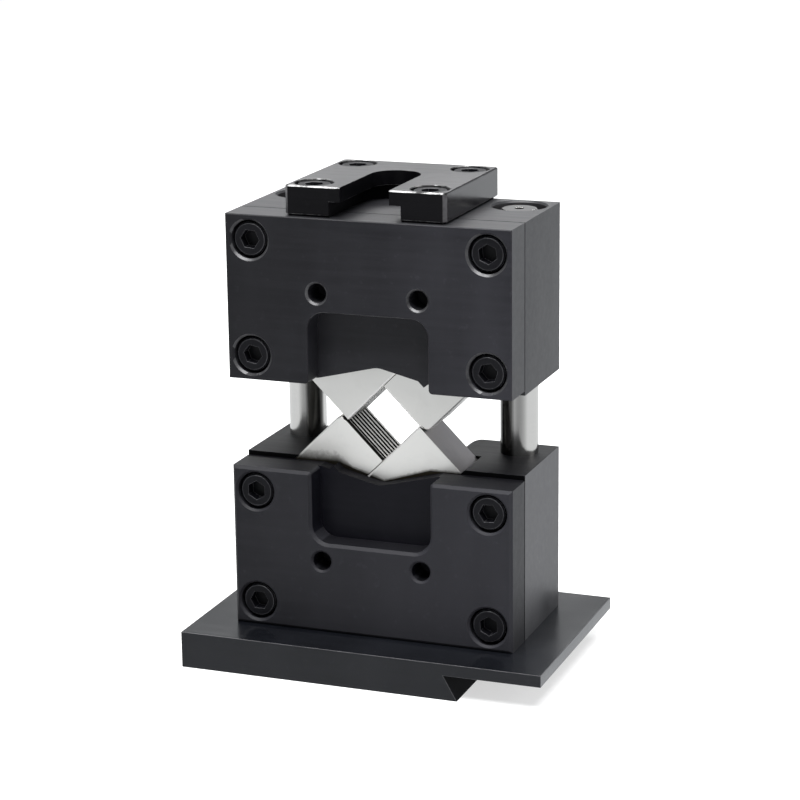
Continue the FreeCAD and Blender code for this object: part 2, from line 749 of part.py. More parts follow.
def jaw_spring(name, turn):
    """Coil spring between the run's closed end and the bottom of the jaw's bore."""
    body = new_body(name)
    rest = "(%s + slide_end_clearance + spring_seat_depth + spring_bore_depth)" % SLIDE_TRAVEL
    x, z = diagonal_spot(turn, "(%s - spring_seat_depth)" % RUN_END, KEY_SPOT[1])
    sketch = new_sketch(body, "XZ_Plane", (x, JAW_MID_Y, z), turn + DIAGONAL)
    wire = number("spring_wire / 2")
    coil = number("(spring_diameter - spring_wire) / 2")
    sketch.addGeometry(Part.Circle(FreeCAD.Vector(wire, coil, 0), FreeCAD.Vector(0, 0, 1), wire), False)
    hold(sketch, 0, 3, "(spring_wire / 2 + 0.05)", "((spring_diameter - spring_wire) / 2)")
    ref = sketch.addConstraint(Sketcher.Constraint("Radius", 0, wire))
    sketch.setExpression("Constraints[%d]" % ref, tied("spring_wire / 2"))
    coil_feature = body.newObject("PartDesign::AdditiveHelix", "Coil")
    coil_feature.Profile = sketch
    coil_feature.ReferenceAxis = (sketch, ["H_Axis"])
    coil_feature.Mode = "height-turns-angle"
    coil_feature.setExpression("Height", tied("(%s - spring_wire - 0.1)" % rest))
    coil_feature.setExpression("Turns", tied("spring_turns"))
    sketch.Visibility = False
    body.Tip = coil_feature
    return body


# Guide posts and bushes

def guide_post(name, x):
    """Ground post, threaded at its foot for the screw from below, centred at its top."""
    body = new_body(name)
    foot = "(base_height + housing_height - post_seat_depth)"
    length = "(%s - post_below_top - %s)" % (TOP_Z, foot)
    radius = "post_diameter / 2"
    profile = [
        ("0", "0"),
        (length, "0"),
        (length, "%s - post_edge_break" % radius),
        ("%s - post_edge_break" % length, radius),
        ("post_edge_break", radius),
        ("0", "%s - post_edge_break" % radius),
    ]
    turned(body, (x, POST_Y, foot), 90, profile)
    turned(body, (x, POST_Y, foot), 90, rod("screw_thread / 2", "post_thread_depth", "-1"), cut=True)
    top = "(%s - post_below_top)" % TOP_Z
    centre = [
        ("-1", "0"),
        ("centre_tip_depth", "0"),
        ("centre_hole_depth", "centre_hole_radius"),
        ("centre_mouth_depth", "centre_hole_radius"),
        ("0", "centre_mouth_radius"),
        ("-1", "centre_mouth_radius"),
    ]
    turned(body, (x, POST_Y, top), -90, centre, cut=True)
    return body


def guide_bush(name, x):
    body = new_body(name)
    foot = "(%s - housing_height)" % TOP_Z
    inner = "(post_diameter / 2 + bush_gap)"
    outer = "bush_outer_diameter / 2"
    profile = [("0", inner), ("bush_length", inner), ("bush_length", outer), ("0", outer)]
    turned(body, (x, POST_Y, foot), 90, profile)
    return body


# Ram plate

def ram_plate():
    """Plate on the upper block with a T slot, open to the front, that the press ram holds."""
    body = new_body("ram_plate")
    half = "ram_plate_width / 2"
    centre = ("ram_plate_offset_x", TOP_Z)
    add_block(body, rectangle("-" + half, "0", half, "ram_plate_thickness"), RAM_FRONT_Y, "ram_plate_depth",
              centre=centre)
    top = number(TOP_Z) + number("ram_plate_thickness")

    def foot(edge):
        line = edge_line(edge)
        return line is not None and near(line[0].z, number(TOP_Z))

    def upright(edge):
        line = edge_line(edge)
        return line is not None and abs(line[1].z) > 0.999

    def rim(edge):
        line = edge_line(edge)
        return line is not None and near(line[0].z, top)

    round_edges(body, "ram_plate_corner_break", upright, "PartDesign::Chamfer")
    round_edges(body, "ram_plate_foot_break", foot, "PartDesign::Chamfer")
    round_edges(body, "ram_plate_edge_break", rim, "PartDesign::Chamfer")
    end = "(slot_end_from_front + 1)"
    lip_low = "(ram_plate_thickness - slot_lip)"
    neck = rectangle("-slot_neck_width / 2", "-1", "slot_neck_width / 2", "ram_plate_thickness + 1")
    wide = rectangle("-slot_undercut_width / 2", "-1", "slot_undercut_width / 2", lip_low)
    before = "(%s - 1)" % RAM_FRONT_Y
    cut_block(body, neck, before, end, centre=centre)
    cut_block(body, wide, before, end, centre=centre)
    spot = ("ram_plate_offset_x", "(%s + slot_end_from_front)" % RAM_FRONT_Y, TOP_Z)
    turned(body, spot, 90, rod("slot_neck_width / 2", "ram_plate_thickness + 1", "-1"), cut=True)
    turned(body, spot, 90, rod("slot_undercut_width / 2", lip_low, "-1"), cut=True)
    profile = counterbore("screw", "ram_screw_sink", "(ram_plate_thickness + 1)", "small_edge_break")
    for x, y in RAM_SCREWS:
        turned(body, (x, y, "(%s + ram_plate_thickness)" % TOP_Z), -90, profile, cut=True)
    return body


# Assembly

made = [
    base_plate(),
    housing("lower_housing", LOWER),
    front_plate("lower_front_plate", LOWER),
    fixed_jaw("lower_fixed_jaw", LOWER),
    sliding_jaw("lower_sliding_jaw", LOWER),
    key_pin("lower_key_pin", LOWER),
    jaw_spring("lower_jaw_spring", LOWER),
    guide_post("guide_post_left", POSTS_X[0]),
    guide_post("guide_post_right", POSTS_X[1]),
    housing("upper_housing", UPPER),
    front_plate("upper_front_plate", UPPER),
    fixed_jaw("upper_fixed_jaw", UPPER),
    sliding_jaw("upper_sliding_jaw", UPPER),
    key_pin("upper_key_pin", UPPER),
    jaw_spring("upper_jaw_spring", UPPER),
    guide_bush("guide_bush_left", POSTS_X[0]),
    guide_bush("guide_bush_right", POSTS_X[1]),
    ram_plate(),
]

plate_screw = cap_screw("PlateScrew", "screw", "plate_screw_length")
base_screw = cap_screw("BaseScrew", "screw", "base_screw_length")
post_screw = cap_screw("PostScrew", "screw", "post_screw_length")
ram_screw = cap_screw("RamScrew", "screw", "ram_screw_length")
jaw_screw = cap_screw("JawScrew", "jaw_screw", "jaw_screw_length")

dowel = new_body("DowelPin")
dowel_rod = rod("dowel_diameter / 2", "dowel_length / 2", "-dowel_length / 2")
turned(dowel, ("0", "0", "0"), 90, dowel_rod, "XY_Plane")

# Degrees at which the plate screws' hexagons stopped when the screws were done up.
HEXAGON_STOPS = {"lower": (30, -3, 0, -33), "upper": (-12, 9, 23, 5)}
UPWARD = {"axis": (1, 0, 0), "angle": 90.0}
DOWNWARD = {"axis": (1, 0, 0), "angle": -90.0}
sunk = "(%s + screw_sink)" % FRONT_Y
jaw_sunk = "(%s + jaw_front_gap + jaw_screw_sink)" % SEAM_Y
for word, turn in (("lower", LOWER), ("upper", UPPER)):
    spots = [(x, sunk, z) for x, z in spots_in(turn, PLATE_SCREWS)]
    made.append(group(word + "_plate_screws", plate_screw, spots, spins=HEXAGON_STOPS[word]))
    spots = [(x, SEAM_Y, z) for x, z in spots_in(turn, DOWELS)]
    made.append(group(word + "_dowel_pins", dowel, spots))
    spots = [diagonal_spot(turn, a, b) for a, b in JAW_SCREWS]
    made.append(group(word + "_fixed_jaw_screws", jaw_screw, [(x, jaw_sunk, z) for x, z in spots]))
made.append(group("base_screws", base_screw, [(x, y, "base_screw_sink") for x, y in BASE_SCREWS], **UPWARD))
spots = [(x, POST_Y, "(base_height + post_screw_sink)") for x in POSTS_X]
made.append(group("post_screws", post_screw, spots, **UPWARD))
ram_sunk = "(%s + ram_plate_thickness - ram_screw_sink)" % TOP_Z
made.append(group("ram_plate_screws", ram_screw, [(x, y, ram_sunk) for x, y in RAM_SCREWS], **DOWNWARD))

doc.recompute()
for item in doc.Objects:
    if "Invalid" in item.State or "Error" in item.State:
        raise RuntimeError("not computed: " + item.Label)
for item in made:
    if item.Shape.isNull() or not item.Shape.isValid():
        raise RuntimeError("bad shape: " + item.Label)
    item.Shape.exportStep("parts/%s.step" % item.Label)
print("pieces written:", len(made))
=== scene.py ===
"""Looks of the terminal crimping applicator: a blackened two-post die set with bright ground jaws.

Every piece keeps the place and size that the solids give it. The solids are copied, their edges
are broken as a toolmaker's stone breaks them, and each finish is built from noise in the piece's
own coordinates. Lengths are in metres.
"""

import json
import math

import bmesh
import bpy
from mathutils import Matrix, Vector


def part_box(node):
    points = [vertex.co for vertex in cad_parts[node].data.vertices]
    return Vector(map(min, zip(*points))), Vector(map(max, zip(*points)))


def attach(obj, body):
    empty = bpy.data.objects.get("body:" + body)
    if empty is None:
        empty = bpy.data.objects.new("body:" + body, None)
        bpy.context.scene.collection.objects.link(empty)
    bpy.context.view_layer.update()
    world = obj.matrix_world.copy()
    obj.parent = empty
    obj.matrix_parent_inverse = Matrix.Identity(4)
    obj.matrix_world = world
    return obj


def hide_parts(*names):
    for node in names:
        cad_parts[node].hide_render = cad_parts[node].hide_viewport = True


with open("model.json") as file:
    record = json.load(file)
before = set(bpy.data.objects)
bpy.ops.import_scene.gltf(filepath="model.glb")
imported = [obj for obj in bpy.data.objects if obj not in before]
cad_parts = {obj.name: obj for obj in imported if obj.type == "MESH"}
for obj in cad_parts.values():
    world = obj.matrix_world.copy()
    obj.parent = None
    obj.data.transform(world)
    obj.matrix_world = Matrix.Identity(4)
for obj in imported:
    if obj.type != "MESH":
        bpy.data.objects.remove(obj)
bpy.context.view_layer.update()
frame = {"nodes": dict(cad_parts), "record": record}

MM = 0.001

# Places that the solids give. The upper front plate is as wide as both blocks, and each front plate
# has a small tooth that stands proud of the edge that faces the other plate.
TOOTH_RISE = 0.5 * MM
PLATE_LOW, PLATE_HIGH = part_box("upper_front_plate")
PLATE_FOOT = PLATE_LOW.z + TOOTH_RISE
PLATE_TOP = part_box("lower_front_plate")[1].z - TOOTH_RISE
PARTING_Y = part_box("lower_housing")[0].y
HOUSING_REAR_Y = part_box("upper_housing")[1].y
RAM_MIDDLE = sum(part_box("ram_plate"), Vector()) / 2
POST_AT = {node: sum(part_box(node), Vector()) / 2 for node in ("guide_post_left", "guide_post_right")}
POST_RADIUS = 9.0 * MM

# The square crimp opening, which stands on its corner
CRIMP_CENTRE = Vector((-0.9, 0.0, 115.55)) * MM
CRIMP_HALF = 12.3 * MM
GROOVE_DEPTH = 1.5 * MM
RISING = Vector((1.0, 0.0, 1.0)).normalized()
FALLING = Vector((-1.0, 0.0, 1.0)).normalized()


# Finishes

class Finish:
    """A material in the making: its nodes and the surface shader they feed."""

    def __init__(self, name, colour, metallic, roughness, ior=1.5):
        self.material = bpy.data.materials.new(name)
        self.material.use_nodes = True
        self.tree = self.material.node_tree
        self.shader = self.tree.nodes["Principled BSDF"]
        self.shader.inputs["Base Color"].default_value = (*colour, 1)
        self.shader.inputs["Metallic"].default_value = metallic
        self.shader.inputs["Roughness"].default_value = roughness
        self.shader.inputs["IOR"].default_value = ior
        self.place = self.add("ShaderNodeTexCoord").outputs["Object"]
        self.bumps = None

    def add(self, kind, **inputs):
        """New node, with its named sockets linked or set."""
        node = self.tree.nodes.new(kind)
        for name, value in inputs.items():
            socket = node.inputs[name.replace("_", " ").title()]
            if isinstance(value, bpy.types.NodeSocket):
                self.tree.links.new(value, socket)
            else:
                socket.default_value = value
        return node

    def link(self, out, target):
        self.tree.links.new(out, target)

    def stretched(self, scale, turn=(0, 0, 0)):
        """The piece's coordinates drawn out, so that a pattern on them runs in lines."""
        node = self.add("ShaderNodeMapping", vector=self.place)
        node.inputs["Scale"].default_value = scale
        node.inputs["Rotation"].default_value = turn
        return node.outputs["Vector"]

    def noise(self, scale, detail=4.0, roughness=0.55, vector=None):
        """Noise from 0 to 1, with scale patches to the metre."""
        node = self.add("ShaderNodeTexNoise", vector=vector or self.place)
        node.inputs["Scale"].default_value = scale
        node.inputs["Detail"].default_value = detail
        node.inputs["Roughness"].default_value = roughness
        return node.outputs["Fac"]

    def ramp(self, fac, stops):
        """Colour or grey along the stops, each of which is a place and a value."""
        node = self.add("ShaderNodeValToRGB")
        self.link(fac, node.inputs["Fac"])
        ramp = node.color_ramp
        while len(ramp.elements) < len(stops):
            ramp.elements.new(0.5)
        for element, (at, value) in zip(ramp.elements, stops):
            element.position = at
            element.color = (*value, 1) if isinstance(value, tuple) else (value, value, value, 1)
        return node.outputs["Color"]

    def blend(self, fac, a, b, mode="MIX"):
        """a where fac is 0 and b where it is 1."""
        node = self.add("ShaderNodeMix")
        node.data_type = "RGBA"
        node.blend_type = mode
        for socket, value in ((node.inputs[0], fac), (node.inputs[6], a), (node.inputs[7], b)):
            if isinstance(value, bpy.types.NodeSocket):
                self.link(value, socket)
            elif isinstance(value, tuple):
                socket.default_value = (*value, 1)
            else:
                socket.default_value = value
        return node.outputs[2]

    def spread(self, fac, low, high, from_low=0.0, from_high=1.0):
        """fac between from_low and from_high, spread between low and high."""
        node = self.add("ShaderNodeMapRange")
        self.link(fac, node.inputs["Value"])
        node.inputs["From Min"].default_value = from_low
        node.inputs["From Max"].default_value = from_high
        node.inputs["To Min"].default_value = low
        node.inputs["To Max"].default_value = high
        return node.outputs["Result"]

    def along(self, way, offset=0.0):
        """Distance from the origin along a direction, plus an offset."""
        node = self.add("ShaderNodeVectorMath")
        node.operation = "DOT_PRODUCT"
        self.link(self.place, node.inputs[0])
        node.inputs[1].default_value = way
        return self.reckon("ADD", node.outputs["Value"], offset)

    def reckon(self, sum_kind, a, b=0.0):
        """One sum on two numbers or sockets."""
        node = self.add("ShaderNodeMath")
        node.operation = sum_kind
        for socket, value in zip(node.inputs, (a, b)):
            if isinstance(value, bpy.types.NodeSocket):
                self.link(value, socket)
            else:
                socket.default_value = value
        return node.outputs[0]

    def bump(self, height, strength, distance):
        """Relief laid over what the earlier calls made."""
        node = self.add("ShaderNodeBump")
        node.inputs["Strength"].default_value = strength
        node.inputs["Distance"].default_value = distance
        self.link(height, node.inputs["Height"])
        if self.bumps is not None:
            self.link(self.bumps, node.inputs["Normal"])
        self.bumps = node.outputs["Normal"]
        self.link(self.bumps, self.shader.inputs["Normal"])

    def colour(self, out):
        self.link(out, self.shader.inputs["Base Color"])

    def rough(self, out):
        self.link(out, self.shader.inputs["Roughness"])


GROUND_LINES = (1.0, 30.0, 1.0)
TURNED_LINES = (30.0, 30.0, 1.0)
SPECK_LIFT = 1.9
STAIN_SHADE = 0.82
RING_SHADE = 0.80
FINE_RELIEF = 0.02 * MM


def blackened(name, dark, light, low_rough, high_rough, ior, painted_light_slope=None):
    """Blackened ground steel: cloudy oxide, faint grinding lines and a fine tooth.

    painted_light_slope is painted light: how much the colour is multiplied at the left end and at the right
    end of a block, lighter towards the right where more light falls.
    """
    f = Finish(name, dark, 0.0, low_rough, ior)
    clouds = f.noise(16.0, 4.0, 0.6, f.stretched((1.0, 1.0, 0.35)))
    lines = f.noise(55.0, 3.0, 0.65, f.stretched((0.35, 6.0, 6.0)))
    tooth = f.noise(900.0, 2.0, 0.6)
    specks = f.ramp(f.noise(240.0, 3.0, 0.7), [(0.60, 0.0), (0.74, 1.0)])
    tone = f.blend(f.ramp(clouds, [(0.36, 0.0), (0.66, 1.0)]), dark, light)
    tone = f.blend(f.spread(lines, 0.0, 0.45, 0.40, 0.66), tone, light)
    tone = f.blend(f.spread(specks, 0.0, 0.30), tone, tuple(SPECK_LIFT * c for c in light))
    # Painted light: the colour grows lighter from the left end of the block to its right end.
    if painted_light_slope:
        painted_light_gain = f.spread(f.along((1.0, 0.0, 0.0)), *painted_light_slope, PLATE_LOW.x, PLATE_HIGH.x)
        tone = f.blend(1.0, tone, painted_light_gain, "MULTIPLY")
    f.colour(tone)
    f.rough(f.spread(f.blend(0.35, clouds, lines), low_rough, high_rough, 0.36, 0.64))
    f.bump(lines, 0.05, FINE_RELIEF)
    f.bump(tooth, 0.12, FINE_RELIEF)
    return f.material


def worn_edge(name, bright, dark, roughness, bare, metal):
    """Edge where the black has rubbed through to the steel in places, between the two levels of bare."""
    f = Finish(name, bright, metal, roughness)
    rubbed = f.ramp(f.noise(130.0, 5.0, 0.7), [(bare[0], dark), (bare[1], bright)])
    f.colour(rubbed)
    f.bump(f.noise(700.0, 2.0), 0.1, FINE_RELIEF)
    return f.material


def ground_steel(name, light, shade, roughness, lines_along=GROUND_LINES, metal=1.0, sooted_and_shaded=False):
    """Bright steel off a surface grinder: fine parallel lines, a soft sheen and faint stains."""
    f = Finish(name, light, metal, roughness)
    lines = f.noise(90.0, 3.0, 0.6, f.stretched(lines_along, (0, math.radians(45), 0)))
    clouds = f.noise(30.0, 3.0, 0.5)
    stain = f.ramp(f.noise(60.0, 4.0, 0.65), [(0.52, 0.0), (0.78, 1.0)])
    tone = f.blend(f.blend(0.5, clouds, lines), shade, light)
    tone = f.blend(f.spread(stain, 0.0, 0.35), tone, tuple(STAIN_SHADE * c for c in shade))
    # Soot and painted shade of the front plate's edge on the lower jaws.
    if sooted_and_shaded:
        tone = f.blend(soot_and_shade_above_plate(f), SOOT_AND_SHADE, tone)
    f.colour(tone)
    f.rough(f.spread(lines, roughness - 0.06, roughness + 0.08, 0.3, 0.7))
    f.bump(lines, 0.05, FINE_RELIEF)
    return f.material


# Partly real soot and partly painted shade of the front plate's edge: a dark band on the lower jaws just
# above that edge, its colour and how far it reaches up.
SOOT_AND_SHADE = (0.030, 0.026, 0.018)
ARCH_RISE = 7.1 * MM
ARCH_RUN = 22.5 * MM
SOOT_AND_SHADE_AT_LEFT = 5.4 * MM
SOOT_AND_SHADE_AT_RIGHT = 1.5 * MM
SOOT_AND_SHADE_TURNS = (-25.0 * MM, -17.0 * MM)


def soot_and_shade_above_plate(f):
    """0 on the line where a lower jaw leaves the front plate, 1 a few millimetres above it."""
    across = f.reckon("ABSOLUTE", f.along((1.0, 0.0, 0.0), -CRIMP_CENTRE.x))
    arch = f.reckon("ADD", f.reckon("MULTIPLY", across, ARCH_RISE / ARCH_RUN), PLATE_TOP - ARCH_RISE)
    edge = f.reckon("MINIMUM", arch, PLATE_TOP)
    height = f.reckon("SUBTRACT", f.along((0.0, 0.0, 1.0)), edge)
    reach = f.spread(f.along((1.0, 0.0, 0.0)), SOOT_AND_SHADE_AT_LEFT, SOOT_AND_SHADE_AT_RIGHT, *SOOT_AND_SHADE_TURNS)
    ragged = f.spread(f.noise(420.0, 3.0, 0.6), 0.80, 1.22, 0.3, 0.7)
    rise = f.reckon("DIVIDE", height, f.reckon("MULTIPLY", reach, ragged))
    return f.ramp(rise, [(0.08, 0.0), (0.40, 0.38), (1.0, 1.0)])


# A dark reflection of the jaws painted on the guide posts: its colour, and where its edge lies.
PAINTED_REFLECTION_TONE = (0.062, 0.061, 0.058)
REFLECTION_BAND_EDGE = (0.84, 0.93)


def polished_steel(name, light, roughness, painted_reflection=None):
    """Ground and polished round bar, with rings so fine that they only blur the gloss.

    painted_reflection is a point of the bar's axis and the way, seen from it, in which a dark reflection of
    the jaws is painted on it.
    """
    f = Finish(name, light, 1.0, roughness)
    rings = f.noise(40.0, 3.0, 0.6, f.stretched((0.4, 0.4, 40.0)))
    rubbed = f.noise(70.0, 3.0, 0.6, f.stretched((1.0, 1.0, 0.08)))
    tone = f.blend(f.blend(0.5, rings, rubbed), tuple(RING_SHADE * c for c in light), light)
    # Painted reflection: a dark band on the side of the post that looks towards the jaws.
    if painted_reflection:
        axis, (dx, dy) = painted_reflection
        middle = axis.x * dx + axis.y * dy
        turned = f.along((dx / POST_RADIUS, dy / POST_RADIUS, 0.0), -middle / POST_RADIUS)
        wavy = f.reckon("ADD", turned, f.spread(rubbed, -0.03, 0.03, 0.3, 0.7))
        tone = f.blend(f.ramp(wavy, [(REFLECTION_BAND_EDGE[0], 0.0), (REFLECTION_BAND_EDGE[1], 1.0)]), tone, PAINTED_REFLECTION_TONE)
    f.colour(tone)
    f.rough(f.spread(f.blend(0.4, rings, rubbed), roughness - 0.04, roughness + 0.08, 0.3, 0.7))
    return f.material


# Both front plates carry a painted light gradient that is lighter towards the right.
upper_front = blackened("blackened_upper_front", (0.0050, 0.0050, 0.0066), (0.0104, 0.0104, 0.0130),
                        0.46, 0.58, 1.28, painted_light_slope=(0.70, 1.75))
upper_side = blackened("blackened_upper_sides", (0.0070, 0.0072, 0.0088), (0.0125, 0.0125, 0.0150),
                       0.44, 0.56, 1.45)
lower_side = blackened("blackened_lower_sides", (0.0065, 0.0068, 0.0085), (0.0440, 0.0440, 0.0480),
                       0.36, 0.50, 1.47)
# Painted shade: the top faces of the lower block are a darker copy of its steel, standing in for the shadow
# of the upper block.
lower_top_shade = blackened("painted_shade_lower_tops", (0.0024, 0.0024, 0.0034), (0.0056, 0.0056, 0.0072),
                      0.44, 0.56, 1.24)
lower_plate_side = blackened("blackened_lower_plate_side", (0.0050, 0.0052, 0.0066), (0.0090, 0.0090, 0.0112),
                             0.44, 0.56, 1.38)
lower_front = blackened("blackened_lower_front", (0.0070, 0.0070, 0.0092), (0.0122, 0.0122, 0.0152),
                        0.54, 0.66, 1.28, painted_light_slope=(0.90, 1.30))
# Painted light: the recess of the upper front plate is given a lighter colour that lifts the shade falling in
# it.
upper_recess_light = blackened("painted_light_upper_recess", (0.0080, 0.0080, 0.0100), (0.0150, 0.0150, 0.0180),
                         0.46, 0.58, 1.28)
# Painted shade: the recess of the lower front plate is darker than the plate's face, standing in for the
# light that does not reach into it.
recess_shade = blackened("painted_shade_lower_recess", (0.0020, 0.0020, 0.0036), (0.0045, 0.0045, 0.0068),
                         0.42, 0.54, 1.22)
# Painted shade on the upper edge of the lower plate's web, beneath the jaws.
arch_shade = blackened("painted_shade_arch_edge", (0.0022, 0.0022, 0.0030), (0.0042, 0.0042, 0.0054),
                       0.50, 0.62, 1.14)
# Painted shade on the front step of the lower housing, and the dark joint in the seam where a front plate
# meets its housing.
step_shade_and_seam = blackened("painted_shade_step_and_dark_seam", (0.0006, 0.0006, 0.0008), (0.0014, 0.0014, 0.0018),
                       0.50, 0.62, 1.12)
base_black = blackened("blackened_base_steel", (0.0012, 0.0015, 0.0024), (0.0034, 0.0040, 0.0058),
                       0.17, 0.27, 1.86)
base_front = blackened("blackened_base_front", (0.0034, 0.0038, 0.0052), (0.0068, 0.0074, 0.0096),
                       0.44, 0.56, 1.38)
# Painted shade under the base and on the dovetail flank beneath its flange.
base_underside_shade = blackened("painted_shade_base_underside", (0.0008, 0.0008, 0.0012), (0.0020, 0.0020, 0.0026),
                       0.50, 0.62, 1.12)
# Glossy black of the ram's front. On the walls of the T slot the same dark colour is painted shade.
ram_black_slot_shade = blackened("glossy_black_front_slot_shade", (0.0012, 0.0012, 0.0016), (0.0030, 0.0028, 0.0036),
                      0.30, 0.42, 1.20)
ram_sheen = blackened("ground_black_ram_sides", (0.0030, 0.0028, 0.0036), (0.0070, 0.0064, 0.0080),
                      0.12, 0.22, 1.44)
ram_top = blackened("ground_black_ram_top", (0.0068, 0.0060, 0.0068), (0.0136, 0.0120, 0.0136),
                    0.28, 0.38, 1.98)
screw_black = blackened("oxide_black_screws", (0.0014, 0.0014, 0.0022), (0.0036, 0.0036, 0.0050),
                        0.36, 0.48, 1.24)
# Painted shade in the crimp grooves, on the crimp edge of the lower fixed jaw and in the centre holes of the
# posts.
groove_shade = blackened("painted_shade_groove_steel", (0.0008, 0.0007, 0.0006), (0.0030, 0.0027, 0.0022),
                        0.55, 0.70, 1.14)
faced_end = ground_steel("faced_post_end", (0.120, 0.120, 0.120), (0.075, 0.075, 0.075), 0.50,
                         lines_along=TURNED_LINES)
ram_edge = worn_edge("bright_worn_ram_edge", (0.30, 0.30, 0.30), (0.012, 0.012, 0.012), 0.34,
                     bare=(0.44, 0.64), metal=0.85)
ram_corner = worn_edge("rubbed_ram_corner", (0.075, 0.073, 0.076), (0.030, 0.029, 0.031), 0.40,
                       bare=(0.36, 0.66), metal=0.4)
# Rubbed wear and painted highlight on the counterbore bevels of the upper front plate.
hole_rim_wear_and_sheen = worn_edge("rubbed_counterbore_rim_and_sheen", (0.055, 0.055, 0.058), (0.014, 0.014, 0.016), 0.36,
                     bare=(0.34, 0.64), metal=0.35)
dull_edge = worn_edge("dull_block_edge", (0.075, 0.075, 0.080), (0.020, 0.020, 0.022), 0.42,
                      bare=(0.35, 0.70), metal=0.3)
screw_edge = worn_edge("rubbed_screw_edge", (0.050, 0.050, 0.055), (0.008, 0.008, 0.010), 0.38,
                       bare=(0.35, 0.70), metal=0.3)
# Lit and shaded copies of one ground steel: the upper jaws are painted darker as shade under the upper block,
# and the lower jaws lighter as painted light.
upper_jaw_shaded_steel = ground_steel("ground_upper_jaw_painted_shade", (0.84, 0.83, 0.80), (0.74, 0.73, 0.70), 0.42)
lower_jaw_lit_steel = ground_steel("ground_lower_jaw_painted_light", (0.90, 0.89, 0.86), (0.82, 0.81, 0.78), 0.42,
                                metal=0.93, sooted_and_shaded=True)
# Painted shade: the end face of the lower sliding jaw is a darker copy of the jaw steel.
jaw_end_shade = ground_steel("ground_jaw_end_painted_shade", (0.56, 0.54, 0.55), (0.28, 0.27, 0.28), 0.36)
round_bright = ground_steel("stoned_crimp_edge", (0.80, 0.79, 0.77), (0.72, 0.71, 0.69), 0.42, metal=0.80)
# Each guide post carries a painted reflection on the side that faces the jaws.
post_left = polished_steel("polished_left_post", (0.62, 0.61, 0.59), 0.16,
                           (POST_AT["guide_post_left"], (0.72, -0.69)))
post_right = polished_steel("polished_right_post", (0.62, 0.61, 0.59), 0.16,
                            (POST_AT["guide_post_right"], (-0.46, -0.89)))
post_bright = polished_steel("polished_pin_steel", (0.62, 0.62, 0.61), 0.16)
spring_wire = polished_steel("drawn_spring_wire", (0.45, 0.45, 0.45), 0.3)
bush_bronze = ground_steel("turned_bush_bronze", (0.60, 0.42, 0.20), (0.46, 0.31, 0.14), 0.3,
                           lines_along=TURNED_LINES)


# Broken edges

SHARP_TURN = math.radians(28.0)
FLAT_TURN = math.radians(0.6)
SAME_POINT = 0.5e-6


def soften(bm, width):
    """Break every sharp edge of a closed mesh and return the faces that makes."""
    edges = [e for e in bm.edges if len(e.link_faces) == 2 and e.calc_face_angle(0.0) > SHARP_TURN]
    made = bmesh.ops.bevel(bm, geom=edges, offset=width, offset_type="OFFSET", segments=2, profile=0.5,
                           affect="EDGES", clamp_overlap=True, material=-1)
    return made["faces"]


# Which faces of a piece take a finish of their own

FACING = 0.9
CLOSE = 0.02 * MM


def crimp_depths(face, way):
    """How deep each corner of a face lies behind the crimp face that looks along way."""
    return [abs((v.co - CRIMP_CENTRE).dot(way)) - CRIMP_HALF for v in face.verts]


def in_groove(face, way):
    """True for every face of a groove cut in the crimp face that looks along way."""
    depths = crimp_depths(face, way)
    if min(depths) < -CLOSE or max(depths) > GROOVE_DEPTH + CLOSE:
        return False
    return abs(face.normal.dot(way)) < 0.99 or min(depths) > 0.5 * GROOVE_DEPTH


def crimp_round(face, way):
    """True on the rounded front edge of the crimp face that looks along way."""
    depths = crimp_depths(face, way)
    inside = min(depths) > -CLOSE and max(depths) < 1.2 * MM
    return inside and face.normal.y < -0.12 and face.calc_center_median().y < PARTING_Y + 1.35 * MM


def facing_rise(face):
    return face.normal.dot(RISING) > FACING


def facing_up(face):
    return face.normal.z > FACING


def facing_front(face):
    return face.normal.y < -FACING


def facing_sideways(face):
    return abs(face.normal.x) > FACING


def facing_down(face):
    return face.normal.z < -0.1


RECESS_SIDE = 29.3 * MM
RECESS_FLOOR_Y = PARTING_Y - 6.75 * MM
PLATE_FACE_Y = PLATE_LOW.y


def from_middle(centre):
    """How far a place lies to the side of the crimp opening."""
    return abs(centre.x - CRIMP_CENTRE.x)


def milled_recess(face):
    """True inside the U recess of a front plate, apart from a bottom that catches the light."""
    centre = face.calc_center_median()
    deep = PLATE_FACE_Y + 1.55 * MM < centre.y < RECESS_FLOOR_Y
    return from_middle(centre) < RECESS_SIDE and deep and face.normal.z < 0.5


def arch_edge(face):
    """True on the upper edge of the lower plate's web, which is painted dark as shade."""
    centre = face.calc_center_median()
    web = RECESS_FLOOR_Y - 0.8 * MM < centre.y < PARTING_Y + 0.85 * MM
    inside = from_middle(centre) < RECESS_SIDE - 0.5 * MM
    return inside and web and centre.z > PLATE_TOP - 14.5 * MM and face.normal.z > 0.3


def centre_hole(face):
    """True in the lathe centre hole in the top of a guide post."""
    centre = face.calc_center_median()
    near = min(max(abs(centre.x - post.x), abs(centre.y - post.y)) for post in POST_AT.values()) < 2.3 * MM
    return centre.z > 200.0 * MM and face.normal.z < FACING and near


def hole_bevel(face):
    """True on the bevels of the round holes in the upper front plate, where the black rubs off first and a
    lighter colour paints their highlight.

    The bevel along the closed end of its recess is rubbed too. Those along the recess's sides stay black.
    """
    centre = face.calc_center_median()
    from_sides = min(centre.x - PLATE_LOW.x, PLATE_HIGH.x - centre.x)
    from_ends = min(centre.z - PLATE_FOOT, PLATE_HIGH.z - centre.z)
    inset = min(from_sides, from_ends)
    leaning = 0.3 < -face.normal.y < FACING and abs(face.normal.x) + abs(face.normal.z) > 0.4
    recess_sides = from_middle(centre) < RECESS_SIDE + 2.2 * MM and centre.z < PLATE_FOOT + 31.2 * MM
    return inset > 2.5 * MM and leaning and centre.y < PLATE_FACE_Y + 1.45 * MM and not recess_sides


